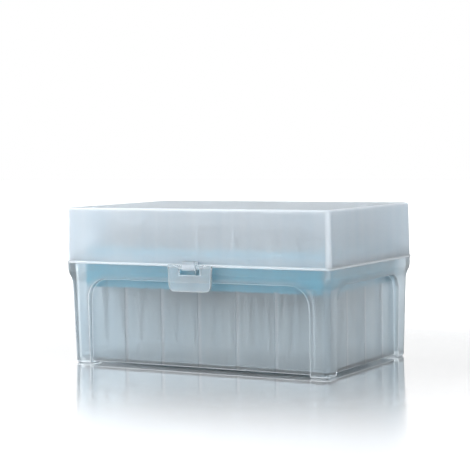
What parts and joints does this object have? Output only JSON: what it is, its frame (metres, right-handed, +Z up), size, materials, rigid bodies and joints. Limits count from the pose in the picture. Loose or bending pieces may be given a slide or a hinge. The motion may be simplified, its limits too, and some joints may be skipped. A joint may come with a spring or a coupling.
{
  "type": "pipette tip box",
  "caption": "Translucent hinged box with a front latch flap, holding pipette tips in a light-blue rack.",
  "frame": {"origin": "on the table, under the middle of the closed box's outline", "axes": "+X along the long side, -Y out of the latch side, +Z up"},
  "size_m": [0.1266, 0.0896, 0.0674],
  "materials": {
    "base_plastic": "translucent frosted polypropylene",
    "lid_plastic": "translucent frosted polypropylene",
    "latch_plastic": "translucent frosted polypropylene",
    "rack_plastic": "light-blue matte polypropylene",
    "tip_plastic": "clear natural polypropylene"
  },
  "bodies": {
    "box": {"base": "base_plastic", "tip_rack": "rack_plastic", "tips_column_01": "tip_plastic", "tips_column_02": "tip_plastic", "tips_column_03": "tip_plastic", "tips_column_04": "tip_plastic", "tips_column_05": "tip_plastic", "tips_column_06": "tip_plastic", "tips_column_07": "tip_plastic", "tips_column_08": "tip_plastic", "tips_column_09": "tip_plastic", "tips_column_10": "tip_plastic", "tips_column_11": "tip_plastic", "tips_column_12": "tip_plastic"},
    "cover": {"lid": "lid_plastic"},
    "latch": {"latch_flap": "latch_plastic"}
  },
  "joints": [
    {"name": "lid_hinge", "type": "hinge", "parent": "box", "child": "cover", "pos_m": [0, 0.0434, 0.0415], "axis": [-1, 0, 0], "range_deg": [0, 110]},
    {"name": "latch_hinge", "type": "hinge", "parent": "cover", "child": "latch", "pos_m": [0, -0.0434, 0.0435], "axis": [-1, 0, 0], "range_deg": [0, 150]}
  ]
}
